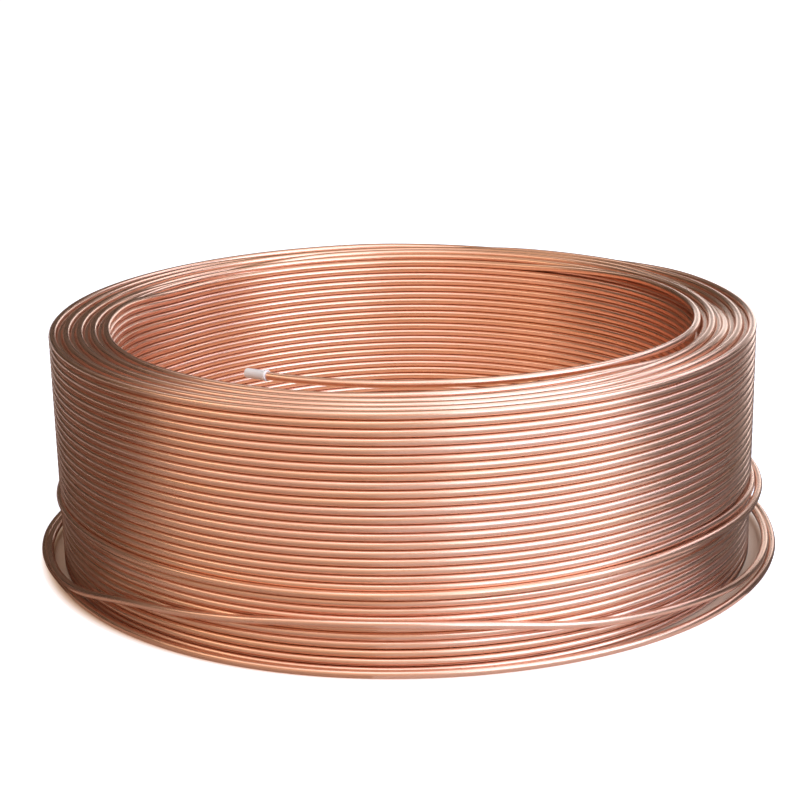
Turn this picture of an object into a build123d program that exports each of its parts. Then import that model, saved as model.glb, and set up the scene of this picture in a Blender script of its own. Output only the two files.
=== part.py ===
"""Level-wound coil of copper tube, standing on its end on the floor.

The tube is wound in layers, each turn of one layer lying in the groove between two turns of the layer
inside it, so every second layer is one turn shorter and ends half a turn lower. The wound turns are one
turned solid with its bore. Its two ends show the last turn of every layer as a ridge, and its outer wall
shows the groove between two turns at every fifth turn. A loose turn is drawn with six sides, one corner
pointing out from the coil's axis.
Three stretches of the tube have come loose: a slack turn of the outer layer, the outer end, which lies
round the foot of the coil, and the inner end, which springs into the bore from the top.
Origin: on the bore's axis, at the floor. +Z is up, and -Y is the side that faces the viewer.
"""

import math
import os

from build123d import *

# The tube and how it is wound, in millimetres
tube_diameter = 7.94
turn_gap = 0.06
bore_diameter = 610.0
layer_count = 9
turn_count = 31
turns_a_groove = 5

# The slack turn: which turn of the outer layer it is, counted from the floor, the angle where it stands
# out furthest, and how far round from there it leaves its place and its nose begins
slack_turn = 9
slack_angle = 342.0
slack_bulge = 13.5
slack_reach = 32.0
slack_nose = 14.0

# The inner end: where it starts and leaves the wound turns, how much tighter than they are it curls into
# the bore and how far round, and how much it has sprung up by the end of its curl
inner_root_angle = 266.0
inner_leaves_angle = 4.0
inner_tuck = 26.0
inner_curl_sweep = 127.0
inner_lift = 2.0

# The outer end: its way round the foot of the coil, as the angle about the axis, the distance that the
# tube stands out from the wound turns, and the height that it stands above the floor
outer_route = [
    (105, 0, 0), (120, 3, 3), (150, 8, 5), (180, 11.5, 5), (210, 7, 13), (240, 0.5, 39),
    (270, 0, 49), (300, 2, 27), (330, 10, 10), (360, 14.5, 5), (390, 17, 3), (420, 20, 0),
    (450, 23, 0), (480, 25, 0), (510, 24, 0), (540, 20.5, 0), (570, 3.5, 0), (600, 2, 0),
    (630, 0, 0), (660, 5.5, 0), (690, 14.5, 0), (720, 23.5, 0), (750, 32, 0), (780, 34, 1.8), (795, 35, 1.8),
]

# The caps pushed over the tube's two ends
cap_wall = 0.7
cap_length = 25.0
cap_overlap = 18.0
cap_collar_height = 0.45
cap_collar_length = 3.0
cap_edge = 1.0
cap_gap = 0.08

# Clearance between a loose stretch and the turns beside it
seat_gap = 0.25

# Worked out from those
tube_radius = tube_diameter / 2
turn_pitch = tube_diameter + turn_gap
layer_step = math.sqrt(tube_diameter**2 - (turn_pitch / 2) ** 2)
coil_height = turn_count * turn_pitch
bore_radius = bore_diameter / 2
outer_layer = layer_count - 1
corner = tube_radius / 2
tube_rise = tube_radius * math.sin(math.radians(60))


def layer_radius(layer):
    """Radius of a layer's centre line, counted from 0 at the bore."""
    return bore_radius + tube_radius + layer * layer_step


def layer_foot(layer):
    """Height of a layer's lower end: every second layer is nested half a turn up."""
    return layer % 2 * turn_pitch / 2


def layer_top(layer):
    """Height of a layer's upper end, where the first layer has lost its top turn to the inner end."""
    return coil_height - (turn_pitch if layer == 0 else layer_foot(layer))


def ring_point(radius, angle, height):
    """Point at that radius and angle about the coil's axis."""
    turn = math.radians(angle)
    return Vector(radius * math.cos(turn), radius * math.sin(turn), height)


wall_radius = layer_radius(outer_layer) + tube_radius
slot_radius = wall_radius - tube_diameter - seat_gap
slot_foot = layer_foot(outer_layer) + slack_turn * turn_pitch

# Outline of half the wound turns' section: up the outer wall, past the slack turn's empty place and a
# groove at every few turns, in over the ridges of the top end, down the bore and out under the lower end
wall = [
    (wall_radius, layer_foot(outer_layer) + turn_pitch / 2),
    (wall_radius, slot_foot),
    (slot_radius, slot_foot),
    (slot_radius, slot_foot + turn_pitch),
    (wall_radius, slot_foot + turn_pitch),
    (wall_radius, layer_top(outer_layer) - turn_pitch / 2),
]
for turn in range(turns_a_groove, turn_count - 1, turns_a_groove):
    if turn not in range(slack_turn, slack_turn + 2):
        groove_height = layer_foot(outer_layer) + turn * turn_pitch
        wall += [
            (wall_radius, groove_height - turn_pitch / 2),
            (wall_radius - corner, groove_height),
            (wall_radius, groove_height + turn_pitch / 2),
        ]
outline = sorted(wall, key=lambda point: point[1])
for layer in range(outer_layer, 1, -1):
    outline.append((layer_radius(layer), layer_top(layer)))
outline += [
    (layer_radius(1) - corner, layer_top(1)),
    (layer_radius(0) + corner, layer_top(0)),
    (bore_radius, layer_top(0)),
    (bore_radius, layer_foot(0)),
]
for layer in range(layer_count):
    outline.append((layer_radius(layer), layer_foot(layer)))

with BuildPart() as wound_turns:
    with BuildSketch(Plane.XZ):
        with BuildLine():
            Polyline(*outline, close=True)
        make_face()
    revolve(axis=Axis.Z)

# The slack turn lies in its own place most of the way round: where it bulges out, a flatter arc leaves
# the turn's own circle on each side, and a tighter one joins them round the nose
slack_radius = layer_radius(outer_layer)
slack_height = slot_foot + turn_pitch / 2
reach = math.radians(slack_reach)
nose = math.radians(slack_nose)
flatter_by = slack_bulge / (1 - math.cos(reach) - math.sin(reach) * math.tan(nose / 2))
tighter_by = flatter_by * math.sin(reach) / math.sin(nose)
flank_radius = slack_radius + flatter_by
nose_radius = flank_radius - tighter_by
slack_start = slack_angle + slack_reach

with BuildLine() as slack_path:
    seat_arc = JernArc(
        ring_point(slack_radius, slack_start, slack_height),
        ring_point(1, slack_start + 90, 0),
        slack_radius,
        360 - 2 * slack_reach,
    )
    near_flank = JernArc(seat_arc @ 1, seat_arc % 1, flank_radius, slack_reach - slack_nose)
    nose_arc = JernArc(near_flank @ 1, near_flank % 1, nose_radius, 2 * slack_nose)
    JernArc(nose_arc @ 1, nose_arc % 1, flank_radius, slack_reach - slack_nose)

with BuildPart() as slack_loop:
    with BuildSketch(Plane(slack_path.line @ 0, ring_point(1, slack_start, 0), slack_path.line % 0)):
        RegularPolygon(tube_radius, 6)
    sweep(path=slack_path.line)

# The inner end takes the place of the first layer's top turn, then curls in across the bore, on a plane
# that tips up a little about the line in which the tube leaves the turns
inner_radius = layer_radius(0)
inner_height = coil_height - turn_pitch / 2
curl_radius = inner_radius - inner_tuck
curl_depth = curl_radius * (1 - math.cos(math.radians(inner_curl_sweep)))
curl_tip = math.asin(inner_lift / curl_depth)
curl_plane = Plane(
    ring_point(inner_radius, inner_leaves_angle, inner_height),
    x_dir=ring_point(1, inner_leaves_angle - 90, 0),
    z_dir=ring_point(math.sin(curl_tip), inner_leaves_angle, math.cos(curl_tip)),
)

with BuildLine(curl_plane) as curl_path:
    curl_arc = JernArc((0, 0), (1, 0), curl_radius, -inner_curl_sweep)
    Line(curl_arc @ 1, curl_arc @ 1 + (curl_arc % 1) * cap_length)

with BuildLine() as inner_path:
    JernArc(
        ring_point(inner_radius, inner_root_angle, inner_height),
        ring_point(1, inner_root_angle - 90, 0),
        inner_radius,
        inner_leaves_angle - inner_root_angle,
    )
    add(curl_path.line)

with BuildPart() as inner_end:
    with BuildSketch(Plane(inner_path.line @ 0, ring_point(1, inner_root_angle, 0), inner_path.line % 0)):
        RegularPolygon(tube_radius, 6)
    sweep(path=inner_path.line)

# The outer end follows its route. The points between its ends stand further out, because the arc at a
# point passes inside it, and each arc is as large as the two runs beside it allow
route_radius = wall_radius + tube_radius + seat_gap
half_step = math.radians(outer_route[2][0] - outer_route[1][0]) / 2
route_points = []
for angle, out, up in outer_route:
    at_an_end = angle in (outer_route[0][0], outer_route[-1][0])
    radius = (route_radius + out) / (1 if at_an_end else math.cos(half_step))
    route_points.append(ring_point(radius, angle, tube_rise + up))
runs = [(after - before).length for before, after in zip(route_points, route_points[1:])]
runs[0] *= 2
route_arcs = []
for point in range(1, len(route_points) - 1):
    arriving = route_points[point] - route_points[point - 1]
    leaving = route_points[point + 1] - route_points[point]
    half_turn = math.radians(arriving.get_angle(leaving)) / 2
    route_arcs.append(0.45 * min(runs[point - 1], runs[point]) / math.tan(half_turn))

with BuildLine() as outer_path:
    FilletPolyline(*route_points, radius=route_arcs)

with BuildPart() as outer_end:
    with BuildSketch(Plane(outer_path.line @ 0, ring_point(1, outer_route[0][0], 0), outer_path.line % 0)):
        RegularPolygon(tube_radius, 6)
    sweep(path=outer_path.line)

os.makedirs("parts", exist_ok=True)
copper_tube = Compound(children=[wound_turns.part, slack_loop.part, inner_end.part, outer_end.part])
copper_tube.label = "copper_tube"
export_step(copper_tube, "parts/copper_tube.step")

# A cap is a short sleeve with a closed end and a collar at its mouth, which the tube's end fills
cap_bore = tube_radius + cap_gap
cap_radius = cap_bore + cap_wall
collar_radius = cap_radius + cap_collar_height

for name, path in (("inner_end_cap", inner_path.line), ("outer_end_cap", outer_path.line)):
    along = path % 1
    mouth = path @ 1 - along * cap_overlap
    with BuildPart() as end_cap:
        with BuildSketch(Plane(mouth, along, along.cross(Vector(0, 0, 1)))):
            with BuildLine():
                Polyline(
                    (0, cap_bore),
                    (0, collar_radius),
                    (cap_collar_length, collar_radius),
                    (cap_collar_length, cap_radius),
                    (cap_length, cap_radius),
                    (cap_length, 0),
                    (cap_overlap + cap_gap, 0),
                    (cap_overlap + cap_gap, cap_bore),
                    close=True,
                )
            make_face()
        revolve(axis=Axis(mouth, along))
        rim = end_cap.edges().filter_by(GeomType.CIRCLE).sort_by(Axis(mouth, along))[-1]
        chamfer(rim, cap_edge)
    end_cap.part.label = name
    export_step(end_cap.part, f"parts/{name}.step")
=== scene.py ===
"""Level-wound coil of copper tube standing on its end, in metres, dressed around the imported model."""

import math

import bmesh
import bpy
import numpy as np
from mathutils import Matrix, Vector


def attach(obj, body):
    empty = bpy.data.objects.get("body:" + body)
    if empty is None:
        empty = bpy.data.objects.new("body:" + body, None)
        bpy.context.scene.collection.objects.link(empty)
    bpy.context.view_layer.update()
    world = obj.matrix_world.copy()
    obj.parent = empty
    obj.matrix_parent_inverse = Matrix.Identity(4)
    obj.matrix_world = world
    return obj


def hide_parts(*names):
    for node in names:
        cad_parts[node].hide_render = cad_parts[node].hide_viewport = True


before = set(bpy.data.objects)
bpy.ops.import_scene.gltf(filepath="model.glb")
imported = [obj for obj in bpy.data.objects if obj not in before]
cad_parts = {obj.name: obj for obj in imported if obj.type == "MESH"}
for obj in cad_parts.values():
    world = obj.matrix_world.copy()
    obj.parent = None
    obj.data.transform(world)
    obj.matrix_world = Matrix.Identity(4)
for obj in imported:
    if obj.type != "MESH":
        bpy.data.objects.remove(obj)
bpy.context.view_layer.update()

# Outer layer of the coil, with its slack turn and its loose end.
# It is soft copper tube of about 8 mm, drawn, annealed and wound level, each turn lying against the last.
# Nothing holds the tube's end, so its last two turns have sprung out and lie round the foot of the coil.
tube_radius_mm = 3.97
turn_pitch_mm = 8.0
bore_radius_mm = 305.0
layer_step_mm = 6.859
turn_count = 31
outer_layer = 8
middle_layer = 4
slack_turn = 9
tube_sides = 12
steps_a_turn = 160
easing_steps = 7


def layer_radius(layer):
    """Radius of a layer's centre line in millimetres, counted from 0 at the bore."""
    return bore_radius_mm + tube_radius_mm + layer * layer_step_mm


def turn_height(turn):
    """Height of a turn's centre line in millimetres, counted from 0 at the floor."""
    return (turn + 0.5) * turn_pitch_mm


def wind_tube(coil, stations):
    """Adds a tube to a mesh, wound about Z through stations of degrees, radius and height in millimetres."""
    angles, radii, heights = np.array(stations, float).T
    step = 360 / steps_a_turn
    count = round((angles[-1] - angles[0]) / step)
    ring_angles = angles[0] + step * np.arange(count + 1)
    # Copper tube bends in long curves, so the line through the stations is evened out over 16 degrees
    spring = np.hanning(easing_steps + 2)[1:-1]

    def eased(values):
        line = np.pad(np.interp(ring_angles, angles, values), easing_steps // 2, mode="edge")
        return np.convolve(line, spring / spring.sum(), mode="valid")

    radius, height = eased(radii), eased(heights)
    # Each turn is spun as a plain ring, which is then drawn out to the turn's own way
    plain_radius = 100.0
    for first in range(0, count, steps_a_turn):
        last = min(first + steps_a_turn, count)
        turn = bmesh.new()
        along = turn.loops.layers.uv.new("along_tube")
        bmesh.ops.create_circle(turn, segments=tube_sides, radius=tube_radius_mm)
        bmesh.ops.rotate(turn, verts=turn.verts, cent=(0, 0, 0), matrix=Matrix.Rotation(math.pi / 2, 3, "X"))
        bmesh.ops.translate(turn, verts=turn.verts, vec=(plain_radius, 0, 0))
        bmesh.ops.spin(
            turn, geom=turn.verts[:] + turn.edges[:], cent=(0, 0, 0), axis=(0, 0, 1),
            angle=math.radians(step * (last - first)), steps=last - first, use_merge=False,
        )
        turn.verts.index_update()
        places = []
        for index, vert in enumerate(turn.verts):
            ring = first + index // tube_sides
            out = math.hypot(vert.co.x, vert.co.y) - plain_radius
            bearing = math.radians(ring_angles[ring])
            reach = radius[ring] + out
            run = bearing * layer_radius(middle_layer)
            places.append((run, math.atan2(vert.co.z, out) * tube_radius_mm))
            vert.co = Vector(
                (reach * math.cos(bearing), reach * math.sin(bearing), vert.co.z + height[ring])
            ) / 1000
        for face in turn.faces:
            face.smooth = True
            split = max(places[v.index][1] for v in face.verts) > 2 * tube_radius_mm
            for loop in face.loops:
                run, round_it = places[loop.vert.index]
                if split and round_it < 0:
                    round_it += math.tau * tube_radius_mm
                loop[along].uv = (run / 1000, round_it / 1000)
        turn_mesh = bpy.data.meshes.new("turn")
        turn.to_mesh(turn_mesh)
        turn.free()
        coil.from_mesh(turn_mesh)
        bpy.data.meshes.remove(turn_mesh)
    line = zip(ring_angles, radius, height)
    return [
        Vector((r * math.cos(math.radians(a)), r * math.sin(math.radians(a)), z)) / 1000 for a, r, z in line
    ]


def finish_coil(coil, name):
    """Joins the turns of a mesh, closes the tube's ends and makes it a piece."""
    bmesh.ops.remove_doubles(coil, verts=coil.verts, dist=1e-6)
    bmesh.ops.holes_fill(coil, edges=[edge for edge in coil.edges if edge.is_boundary], sides=tube_sides)
    bmesh.ops.recalc_face_normals(coil, faces=coil.faces)
    mesh = bpy.data.meshes.new(name)
    coil.to_mesh(mesh)
    coil.free()
    piece = bpy.data.objects.new(name, mesh)
    bpy.context.scene.collection.objects.link(piece)
    mesh.materials.append(drawn_copper)
    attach(piece, "root")
    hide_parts("copper_tube")


def colour(code):
    """An sRGB hex colour as linear RGBA."""
    parts = [int(code[i:i + 2], 16) / 255 for i in (1, 3, 5)]
    return [p / 12.92 if p <= 0.04045 else ((p + 0.055) / 1.055) ** 2.4 for p in parts] + [1.0]


def node(material, kind, settings=None, **sockets):
    """Adds a node: its settings, and each socket's value or the output that feeds it."""
    tree = material.node_tree
    made = tree.nodes.new(kind)
    for key, value in (settings or {}).items():
        setattr(made, key, value)
    for key, value in sockets.items():
        socket = made.inputs[int(key[1:])] if key[1:].isdigit() else made.inputs[key.replace("_", " ")]
        if isinstance(value, bpy.types.NodeSocket):
            tree.links.new(value, socket)
        else:
            socket.default_value = value
    return made


# Drawn and annealed copper: a satin metal with hairlines along the tube from the die, and a tone that
# drifts from turn to turn where the annealing has stained it. Hairlines are drawn at 1.2 mm, to show.
hairline_mm = 1.2
hairline_length_mm = 60.0
stain_length_mm = 900.0
stain_width_mm = 50.0
drawn_copper = bpy.data.materials.new("drawn_copper")
drawn_copper.use_nodes = True
shader = drawn_copper.node_tree.nodes["Principled BSDF"]
tube_map = node(drawn_copper, "ShaderNodeUVMap", {"uv_map": "along_tube"})
hair_map = node(
    drawn_copper, "ShaderNodeMapping", Vector=tube_map.outputs["UV"],
    Scale=(1000 / hairline_length_mm, 1000 / hairline_mm, 1),
)
hairlines = node(drawn_copper, "ShaderNodeTexNoise", Vector=hair_map.outputs["Vector"], Scale=1.0, Detail=3.0)
stain_map = node(
    drawn_copper, "ShaderNodeMapping", Vector=tube_map.outputs["UV"],
    Scale=(1000 / stain_length_mm, 1000 / stain_width_mm, 1),
)
stains = node(drawn_copper, "ShaderNodeTexNoise", Vector=stain_map.outputs["Vector"], Scale=1.0, Detail=4.0)
stain_tone = node(
    drawn_copper, "ShaderNodeMapRange", Value=stains.outputs["Fac"], From_Min=0.3, From_Max=0.7,
)
copper_tone = node(
    drawn_copper, "ShaderNodeMix", {"data_type": "RGBA"},
    Factor=stain_tone.outputs["Result"], _6=colour("#f0bd9d"), _7=colour("#f8cbb8"),
)
gloss = node(
    drawn_copper, "ShaderNodeMapRange", Value=hairlines.outputs["Fac"],
    From_Min=0.25, From_Max=0.75, To_Min=0.25, To_Max=0.32,
)
grain = node(drawn_copper, "ShaderNodeBump", Height=hairlines.outputs["Fac"], Strength=0.04, Distance=0.0002)
drawn_copper.node_tree.links.new(copper_tone.outputs[2], shader.inputs["Base Color"])
drawn_copper.node_tree.links.new(gloss.outputs["Result"], shader.inputs["Roughness"])
drawn_copper.node_tree.links.new(grain.outputs["Normal"], shader.inputs["Normal"])
shader.inputs["Metallic"].default_value = 1.0
# The film of drawing oil that is left on the tube
shader.inputs["Coat Weight"].default_value = 0.6
shader.inputs["Coat Roughness"].default_value = 0.25

outer_radius = layer_radius(outer_layer)
under_radius = layer_radius(outer_layer - 1)
last_turn = turn_count - 1
# The turns lie level and step down to the next one behind the coil, riding over the turn beneath as they do
step_starts = 30
step_middle = 45
step_ends = 60
step_ride_mm = 1.1
# The tube comes up from the layer beneath at the top of the coil, also behind it
climb_starts = 62
climb_ends = 95
lead_in = -360 * turn_count
outer_line = [
    (lead_in + step_ends - 720, under_radius, turn_height(last_turn - 1.5)),
    (lead_in + step_starts - 360, under_radius, turn_height(last_turn - 1.5)),
    (lead_in + step_ends - 360, under_radius, turn_height(last_turn - 0.5)),
    (lead_in + climb_starts, under_radius, turn_height(last_turn - 0.5)),
    (lead_in + climb_ends, outer_radius, turn_height(last_turn)),
]
# Way of the slack turn: angle, how far it stands proud of its layer, and how far it has ridden up
slack_line = [
    (178, 0, 0), (186, 3.0, 0.7), (193, 3.9, 1.0), (205, 4.6, 1.4), (220, 5.2, 2.1), (300, 5.2, 2.1),
    (312, 6.6, 1.7), (319, 7.8, 1.2), (324.5, 9.4, 0.6), (331, 11.6, 0), (340, 12.6, 0), (349, 12.2, 0),
    (361, 8.7, 0), (372, 0, 0),
]
# The turn over the slack one has sagged into the place that it left at the right
sagged_line = [(318, 0, 0), (332, 3.5, -2.5), (344, 5.2, -4.0), (353, 3.5, -2.5), (362, 0.5, 0), (372, 0, 0)]
# The turns under the slack one have eased up into its place at the front, the lowest two of them less
eased_up_mm = 1.2
for turn_number in range(last_turn, 0, -1):
    height = turn_height(turn_number)
    way_round = -360 * (turn_number + 1)
    loosened = []
    if turn_number == slack_turn + 1:
        loosened = sagged_line
    elif turn_number == slack_turn:
        loosened = slack_line
    elif turn_number < slack_turn:
        eased = min(eased_up_mm, eased_up_mm * turn_number / 3)
        loosened = [(178, 0, 0), (205, 0, eased), (335, 0, eased), (372, 0, 0)]
    for angle, proud, ridden in loosened:
        outer_line.append((way_round + angle, outer_radius + proud, height + ridden))
    way_down = -360 * turn_number
    outer_line += [
        (way_down + step_starts, outer_radius, height),
        (way_down + step_middle, outer_radius + step_ride_mm, height - turn_pitch_mm / 2),
        (way_down + step_ends, outer_radius, height - turn_pitch_mm),
    ]
# Way of the loose end: angle, distance of the tube's middle from the axis, height of the tube off the floor
loose_way = [
    (-10, 363.9, 0), (10, 366.5, 0), (40, 372.4, 0), (80, 372.6, 0), (105, 372.4, 0), (120, 375.1, 3),
    (150, 380.1, 5), (180, 383.5, 5), (195, 382, 8), (207, 380, 10), (214, 378, 17), (224, 374, 30),
    (240, 372.3, 39), (255, 372, 48), (270, 372, 48.5), (283, 372, 43), (292, 372.5, 33), (305, 374.5, 23.5),
    (318, 379, 17.5), (330, 382, 10), (345, 384.5, 6), (360, 386.5, 5), (390, 389, 3), (420, 392, 0),
    (450, 395, 0), (480, 397, 0), (510, 396, 0), (531, 394, 0), (540, 392.5, 0), (549, 387, 0), (554, 384, 0),
    (561, 377, 0), (571, 375, 0), (585, 375, 0), (600, 374, 0), (630, 372, 0), (645, 373.5, 0),
    (660, 377.5, 0), (675, 383, 0), (690, 386.5, 0), (705, 391, 0), (720, 394.5, 0), (729, 398, 0),
    (750, 404, 0), (780, 405.6, 1.8), (795, 406.4, 1.8),
]
outer_line += [(angle, radius, tube_radius_mm + up) for angle, radius, up in loose_way]
coil = bmesh.new()
outer_end_line = wind_tube(coil, outer_line)
finish_coil(coil, "outer_turns")

# Inner layer of the coil, with its loose end.
# It is the same tube: its top turn has sprung off the layer and curls into the bore, with a cap on its end.
# The turns ride higher at the left and on the near side than at the back, and drop again at the right.
inner_radius = layer_radius(0)
curl_radius_mm = 283.0
curl_offset_mm = 26.0
curl_leaves = 4
back_top_mm = 234.2
left_top_mm = 244.0
near_rise_mm = 1.5
right_rise_mm = 3.1
inner_turn_count = 30
back_pitch_mm = (back_top_mm - turn_height(0)) / (inner_turn_count - 1)
left_pitch_mm = (left_top_mm - turn_height(0)) / (inner_turn_count - 1)
inner_line = []
# Way of the curl: angle, how much further in than a true arc the tube lies, and its height
curl_way = [
    (-121.9, 0, 245.6), (-105, 2, 246.3), (-85, 5, 246.9), (-60, 6, 247.0), (-40, 3, 246.6),
    (-20, 0.5, 245.6), (0, 0, 244.4),
]
for angle, tucked, height in curl_way:
    swing = math.radians(angle - curl_leaves)
    reach = curl_offset_mm * math.cos(swing)
    reach += math.sqrt(curl_radius_mm ** 2 - (curl_offset_mm * math.sin(swing)) ** 2)
    inner_line.append((angle, reach - tucked, height))
inner_line += [(10, inner_radius, 244), (30, inner_radius, 243.6)]
for turn_number in range(inner_turn_count):
    turned = 360 * turn_number
    back_height = back_top_mm - turn_number * back_pitch_mm
    left_height = left_top_mm - turn_number * left_pitch_mm
    inner_line += [
        (turned + 62, inner_radius, back_height),
        (turned + 148, inner_radius, back_height),
        (turned + 168, inner_radius, left_height),
        (turned + 256, inner_radius, left_height),
    ]
    if turn_number < inner_turn_count - 1:
        inner_line += [
            (turned + 270, inner_radius, left_height + near_rise_mm),
            (turned + 308, inner_radius, left_height + near_rise_mm),
            (turned + 345, inner_radius, back_height - back_pitch_mm + right_rise_mm),
        ]
# Its foot climbs onto the next layer
turned = 360 * (inner_turn_count - 1)
inner_line += [
    (turned + 300, layer_radius(1), turn_height(0.5)),
    (turned + 630, layer_radius(1), turn_height(0.5)),
    (turned + 660, layer_radius(1), turn_height(1.5)),
    (turned + 960, layer_radius(1), turn_height(1.5)),
]
coil = bmesh.new()
inner_end_line = wind_tube(coil, inner_line)
finish_coil(coil, "inner_turns")

# Turns of the layers between, where they show at the two ends of the coil and behind the slack turn.
# Each second layer lies half a turn lower, in the grooves of its neighbours, and the tube climbs from one
# layer to the next at the ends. The turns inside the coil are never seen and are left out.
top_turns = (last_turn - 1.5, last_turn - 0.5, last_turn, last_turn - 1)
foot_turns = (1, 0, 0.5, 1.5)
coil = bmesh.new()
for layer, climbs, turns in (
    (1, 140, top_turns), (3, 10, top_turns), (5, 100, top_turns),
    (2, 200, foot_turns), (4, 60, foot_turns), (6, 320, foot_turns),
):
    radius, next_radius = layer_radius(layer), layer_radius(layer + 1)
    arriving, ending, starting, leaving = (turn_height(turn_number) for turn_number in turns)
    wind_tube(coil, [
        (climbs - 720, radius, arriving),
        (climbs - 390, radius, arriving),
        (climbs - 360, radius, ending),
        (climbs, radius, ending),
        (climbs + 30, next_radius, starting),
        (climbs + 328, next_radius, starting),
        (climbs + 358, next_radius, leaving),
        (climbs + 700, next_radius, leaving),
    ])
behind_slack = []
for turn_number in range(4):
    height = turn_height(slack_turn - 1.5 + turn_number)
    behind_slack += [
        (360 * turn_number + step_ends, under_radius, height),
        (360 * (turn_number + 1) + step_starts, under_radius, height),
    ]
wind_tube(coil, behind_slack)
finish_coil(coil, "middle_turns")

# Caps on the tube's two ends: moulded polyethylene sleeves with a collar at the mouth.
# They are pushed over the tube to keep its bore clean, and are held by their own grip.
cap_bore_mm = 4.05
cap_radius_mm = 4.75
cap_collar_mm = 5.2
cap_collar_length_mm = 2.6
cap_length_mm = 25.0
cap_overlap_mm = 18.0
cap_edge_mm = 0.3
mottle_mm = 1.5
frosted_plastic = bpy.data.materials.new("frosted_polyethylene")
frosted_plastic.use_nodes = True
shader = frosted_plastic.node_tree.nodes["Principled BSDF"]
cap_place = node(frosted_plastic, "ShaderNodeTexCoord")
# Moulded polyethylene: milky, with the soft gloss of a fine spark finish, whose mottle is drawn coarse
# enough to show
mottle = node(
    frosted_plastic, "ShaderNodeTexNoise", Vector=cap_place.outputs["Object"],
    Scale=1000 / mottle_mm, Detail=2.0,
)
milk = node(
    frosted_plastic, "ShaderNodeMix", {"data_type": "RGBA"},
    Factor=mottle.outputs["Fac"], _6=colour("#f4f6fc"), _7=colour("#fcfdff"),
)
frost = node(frosted_plastic, "ShaderNodeBump", Height=mottle.outputs["Fac"], Strength=0.15, Distance=0.0003)
frosted_plastic.node_tree.links.new(milk.outputs[2], shader.inputs["Base Color"])
frosted_plastic.node_tree.links.new(frost.outputs["Normal"], shader.inputs["Normal"])
shader.inputs["Roughness"].default_value = 0.4
shader.inputs["IOR"].default_value = 1.51
shader.inputs["Subsurface Weight"].default_value = 0.3
shader.inputs["Subsurface Radius"].default_value = (1.0, 1.0, 1.0)
shader.inputs["Subsurface Scale"].default_value = 0.002

# Half a cap's section: from inside its closed end, out round its mouth and along its outside to its tip
cap_outline = [
    (cap_overlap_mm + 0.1, 0), (cap_overlap_mm + 0.1, cap_bore_mm),
    (cap_edge_mm, cap_bore_mm), (0, cap_bore_mm + cap_edge_mm),
    (0, cap_collar_mm - cap_edge_mm), (cap_edge_mm, cap_collar_mm),
    (cap_collar_length_mm, cap_collar_mm), (3.4, cap_radius_mm), (cap_length_mm - 1.4, cap_radius_mm - 0.15),
    (cap_length_mm - 0.5, cap_radius_mm - 0.6), (cap_length_mm, cap_radius_mm - 1.5), (cap_length_mm, 0),
]
for name, tip, before in (
    ("inner_end_cap", inner_end_line[0], inner_end_line[2]),
    ("outer_end_cap", outer_end_line[-1], outer_end_line[-3]),
):
    cap = bmesh.new()
    rim = [cap.verts.new((x / 1000, y / 1000, 0)) for x, y in cap_outline]
    edges = [cap.edges.new(pair) for pair in zip(rim, rim[1:])]
    bmesh.ops.spin(
        cap, geom=rim + edges, cent=(0, 0, 0), axis=(1, 0, 0), angle=math.tau, steps=32, use_merge=True,
    )
    bmesh.ops.remove_doubles(cap, verts=cap.verts, dist=1e-6)
    bmesh.ops.recalc_face_normals(cap, faces=cap.faces)
    way = (tip - before).normalized()
    pointed = way.to_track_quat("X", "Z").to_matrix().to_4x4()
    mouth = tip - way * cap_overlap_mm / 1000
    bmesh.ops.transform(cap, matrix=Matrix.Translation(mouth) @ pointed, verts=cap.verts)
    for face in cap.faces:
        face.smooth = True
    mesh = bpy.data.meshes.new(name + "_sleeve")
    cap.to_mesh(mesh)
    cap.free()
    sleeve = bpy.data.objects.new(name + "_sleeve", mesh)
    bpy.context.scene.collection.objects.link(sleeve)
    mesh.materials.append(frosted_plastic)
    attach(sleeve, "root")
    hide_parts(name)

# Studio: a pale paper floor that runs out to white and keeps the coil's soft shadow.
# A large cool softbox stands at the right in front, and smaller ones fill in from above and behind.
# Sheets laid on the floor round the coil show only in the copper: they are painted reflections, which shade
# the undersides.
floor_reach = 60.0
loose_half_width = 0.392
loose_half_depth = 0.376
white_strength = 0.84
# Strength of the painted warm glow on the bore's floor
painted_bore_glow_strength = 0.3
floor_sheet = bmesh.new()
bmesh.ops.create_circle(floor_sheet, cap_ends=True, segments=96, radius=floor_reach)
mesh = bpy.data.meshes.new("studio_floor")
floor_sheet.to_mesh(mesh)
floor_sheet.free()
studio_floor = bpy.data.objects.new("studio_floor", mesh)
bpy.context.scene.collection.objects.link(studio_floor)
pale_floor = bpy.data.materials.new("pale_studio_paper")
pale_floor.use_nodes = True
nodes = pale_floor.node_tree.nodes
nodes.remove(nodes["Principled BSDF"])
seen = node(pale_floor, "ShaderNodeLightPath")
seen_or_mirrored = node(
    pale_floor, "ShaderNodeMath", {"operation": "MAXIMUM"},
    _0=seen.outputs["Is Camera Ray"], _1=seen.outputs["Is Glossy Ray"],
)
shown = node(
    pale_floor, "ShaderNodeMath", {"operation": "MAXIMUM"},
    _0=seen_or_mirrored.outputs[0], _1=seen.outputs["Is Transmission Ray"],
)
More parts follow.
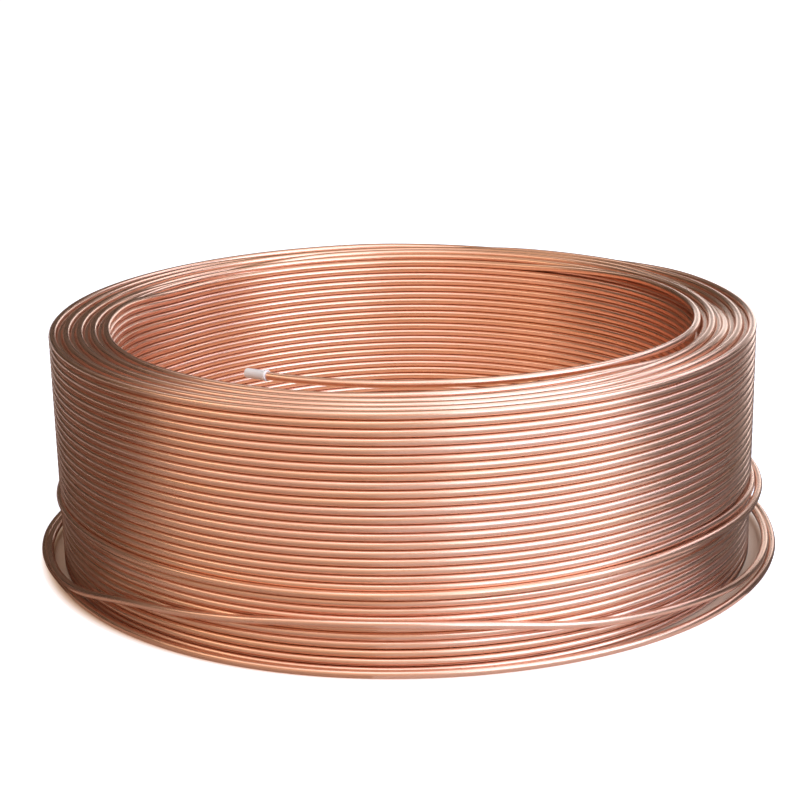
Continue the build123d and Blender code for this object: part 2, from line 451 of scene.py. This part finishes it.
# The white starts outside the loose turns: the paper between them and in the bore has a painted warm shade
floor_place = node(pale_floor, "ShaderNodeTexCoord")
foot = node(
    pale_floor, "ShaderNodeMapping", Vector=floor_place.outputs["Object"],
    Scale=(1 / loose_half_width, 1 / loose_half_depth, 1),
)
from_middle = node(
    pale_floor, "ShaderNodeVectorMath", {"operation": "LENGTH"}, _0=foot.outputs["Vector"],
)
outside = node(
    pale_floor, "ShaderNodeMapRange", Value=from_middle.outputs["Value"],
    From_Min=0.97, From_Max=1.01, To_Min=0.0, To_Max=1.0,
)
# Paper: a painted warm shade inside the loose turns, pale outside
paper_with_painted_shade = node(
    pale_floor, "ShaderNodeMix", {"data_type": "RGBA"},
    Factor=outside.outputs[0], _6=colour("#cdb8a4"), _7=colour("#e4ecf6"),
)
paper = node(pale_floor, "ShaderNodeBsdfDiffuse", Color=paper_with_painted_shade.outputs[2])
outer_lift = node(
    pale_floor, "ShaderNodeMath", {"operation": "MULTIPLY"}, _0=outside.outputs[0], _1=white_strength,
)
# In the bore the floor also glows faintly: a painted warm glow
painted_bore_glow = node(
    pale_floor, "ShaderNodeMapRange", Value=from_middle.outputs["Value"],
    From_Min=0.82, From_Max=0.86, To_Min=painted_bore_glow_strength, To_Max=0.0,
)
floor_lift = node(
    pale_floor, "ShaderNodeMath", {"operation": "MAXIMUM"},
    _0=outer_lift.outputs[0], _1=painted_bore_glow.outputs[0],
)
lift = node(
    pale_floor, "ShaderNodeMath", {"operation": "MULTIPLY"}, _0=shown.outputs[0], _1=floor_lift.outputs[0],
)
# The lift is warm in the bore, where it is a painted glow, and white outside
lift_with_painted_glow = node(
    pale_floor, "ShaderNodeMix", {"data_type": "RGBA"},
    Factor=outside.outputs[0], _6=colour("#ffd0a0"), _7=colour("#f8faff"),
)
white = node(pale_floor, "ShaderNodeEmission", Color=lift_with_painted_glow.outputs[2], Strength=lift.outputs[0])
both = node(pale_floor, "ShaderNodeAddShader", _0=paper.outputs[0], _1=white.outputs[0])
pale_floor.node_tree.links.new(both.outputs[0], nodes["Material Output"].inputs["Surface"])
mesh.materials.append(pale_floor)

# Sheets of painted reflection: the angle where each starts, how far round it goes and its tone
cloth_inside = 0.36
cloth_outside = 3.0
cloth_height = 0.001
for name, starts, sweep, tone in (
    ("left_painted_reflection", 90, 115, "#6e5446"),
    ("near_left_painted_reflection", 205, 60, "#b8a594"),
    ("near_right_painted_reflection", 265, 65, "#d0c8c2"),
    ("right_painted_reflection", 330, 120, "#5b534e"),
):
    painted_reflection_sheet = bpy.data.materials.new(name)
    painted_reflection_sheet.use_nodes = True
    shader = painted_reflection_sheet.node_tree.nodes["Principled BSDF"]
    shader.inputs["Base Color"].default_value = colour(tone)
    shader.inputs["Roughness"].default_value = 0.9
    cloth = bmesh.new()
    edge = [cloth.verts.new((radius, 0, cloth_height)) for radius in (cloth_inside, cloth_outside)]
    bmesh.ops.rotate(cloth, verts=edge, cent=(0, 0, 0), matrix=Matrix.Rotation(math.radians(starts), 3, "Z"))
    bmesh.ops.spin(
        cloth, geom=edge + [cloth.edges.new(edge)], cent=(0, 0, 0), axis=(0, 0, 1),
        angle=math.radians(sweep), steps=24, use_merge=False,
    )
    mesh = bpy.data.meshes.new(name)
    cloth.to_mesh(mesh)
    cloth.free()
    panel = bpy.data.objects.new(name, mesh)
    bpy.context.scene.collection.objects.link(panel)
    mesh.materials.append(painted_reflection_sheet)
    # Seen only in the copper's reflections, so the sheet's tone is a painted reflection
    panel.visible_camera = False
    panel.visible_diffuse = False
    panel.visible_shadow = False

# Softboxes: where each stands, what it is aimed at, its width and height, its watts and its tone
for name, place, aim, wide, tall, watts, tone in (
    ("right_softbox", (1.41, -1.69, 1.1), (0, 0, 0.15), 2.2, 1.7, 34, "#c4e1ff"),
    ("upper_softbox", (0.45, -0.75, 2.2), (0, 0, 0.2), 2.4, 1.5, 18, "#d8e8ff"),
    ("side_softbox", (1.85, -0.6, 1.4), (0, 0, 0.2), 1.2, 0.8, 8, "#d8e8ff"),
    ("edge_softbox", (1.8, 0.55, 1.5), (0, 0, 0.2), 0.7, 0.4, 2.5, "#f0e8ff"),
    ("corner_softbox", (1.3, 1.4, 1.9), (0, 0, 0.25), 1.2, 1.2, 10, "#e6f0ff"),
    ("far_softbox", (0.9, 2.2, 0.45), (0, 0, 0.2), 2.0, 0.5, 6, "#ffffff"),
    ("left_edge_softbox", (-1.5, -0.6, 1.3), (0, 0, 0.2), 0.8, 0.45, 2.2, "#ffe6cc"),
    ("left_softbox", (-0.85, 1.2, 1.95), (0, 0, 0.25), 0.8, 0.8, 2.5, "#ffffff"),
    ("near_softbox", (-0.5, -0.85, 0.95), (0, 0, 0.2), 0.9, 0.7, 1.5, "#f0ecf0"),
    ("top_softbox", (0.3, 0.6, 2.3), (0, 0, 0.1), 2.0, 1.6, 4, "#ffe6cc"),
):
    lamp = bpy.data.lights.new(name, "AREA")
    lamp.shape = "RECTANGLE"
    lamp.size = wide
    lamp.size_y = tall
    lamp.energy = watts
    lamp.color = colour(tone)[:3]
    light = bpy.data.objects.new(name, lamp)
    light.location = place
    light.visible_camera = False
    light.rotation_euler = (Vector(aim) - Vector(place)).to_track_quat("-Z", "Y").to_euler()
    bpy.context.scene.collection.objects.link(light)

# The room's own light is warm, brightest in front of the coil, and falls off to the sides and behind
world = bpy.data.worlds.new("studio")
bpy.context.scene.world = world
world.use_nodes = True
towards = node(world, "ShaderNodeTexCoord")
facing = node(
    world, "ShaderNodeVectorMath", {"operation": "DOT_PRODUCT"},
    _0=towards.outputs["Generated"], _1=(-0.12, -1.0, 0.0),
)
overhead = node(world, "ShaderNodeSeparateXYZ", Vector=towards.outputs["Generated"])
front_level = node(
    world, "ShaderNodeMapRange", {"interpolation_type": "SMOOTHSTEP"},
    Value=facing.outputs["Value"], From_Min=-0.2, From_Max=1.0, To_Min=0.06, To_Max=0.76,
)
top_level = node(
    world, "ShaderNodeMapRange", {"interpolation_type": "SMOOTHSTEP"},
    Value=overhead.outputs["Z"], From_Min=0.3, From_Max=1.0, To_Min=0.0, To_Max=0.26,
)
level = node(
    world, "ShaderNodeMath", {"operation": "ADD"}, _0=front_level.outputs[0], _1=top_level.outputs[0],
)
background = world.node_tree.nodes["Background"]
background.inputs["Color"].default_value = colour("#ffdfc3")
world.node_tree.links.new(level.outputs[0], background.inputs["Strength"])

# Camera at the photograph's height and angle, leaning a degree to one side.
# The picture is square, and its middle lies a few pixels left of the lens's.
picture_pixels = 800
focal_pixels = 1790.96
aside_pixels = 3.81
lean = math.radians(-1.02)
pitch = math.radians(16.4416)
ahead = Vector((0, math.cos(pitch), -math.sin(pitch)))
level_up = Vector((0, math.sin(pitch), math.cos(pitch)))
side = math.cos(lean) * Vector((1, 0, 0)) + math.sin(lean) * level_up
upward = -math.sin(lean) * Vector((1, 0, 0)) + math.cos(lean) * level_up
camera = bpy.data.objects.new("camera", bpy.data.cameras.new("camera"))
camera.data.sensor_width = 36
camera.data.lens = focal_pixels * camera.data.sensor_width / picture_pixels
camera.data.shift_x = -aside_pixels / picture_pixels
stand = Matrix.Translation((0, -1.840105, 0.693303))
camera.matrix_world = stand @ Matrix((side, upward, -ahead)).transposed().to_4x4()
bpy.context.scene.collection.objects.link(camera)
bpy.context.scene.camera = camera
bpy.context.scene.view_settings.view_transform = "Standard"
